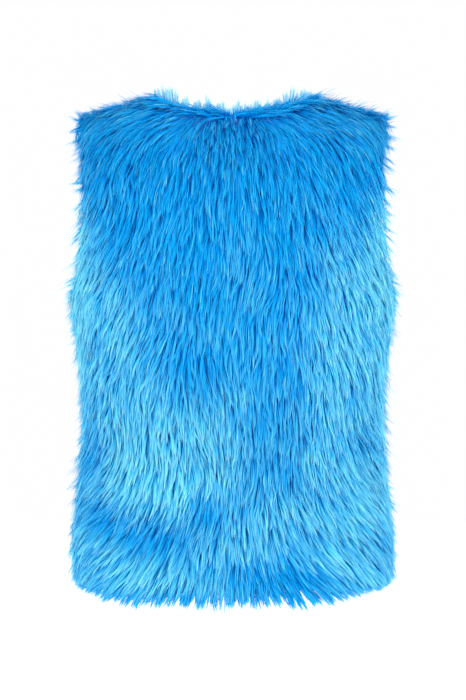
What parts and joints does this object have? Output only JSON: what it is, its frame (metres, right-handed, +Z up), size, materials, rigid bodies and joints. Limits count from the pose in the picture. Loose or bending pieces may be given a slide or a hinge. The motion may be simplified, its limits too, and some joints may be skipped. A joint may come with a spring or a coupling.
{
  "type": "faux fur vest, filled out with no wearer",
  "caption": "Sleeveless faux fur vest in worn, hollow form, with open neck, armholes, hem and centre front.",
  "frame": {"origin": "on the centre plane between the two points where the shoulder seams meet the neck, where the vest hangs on the shoulders", "axes": "+Z up, -Y to the wearer's front, +X to the wearer's left"},
  "size_m": [0.4109, 0.2733, 0.6332],
  "materials": {
    "fur": "long bright blue pile with a soft sheen"
  },
  "bodies": {
    "root": {"back": "fur", "front_left": "fur", "front_right": "fur"}
  },
  "joints": []
}
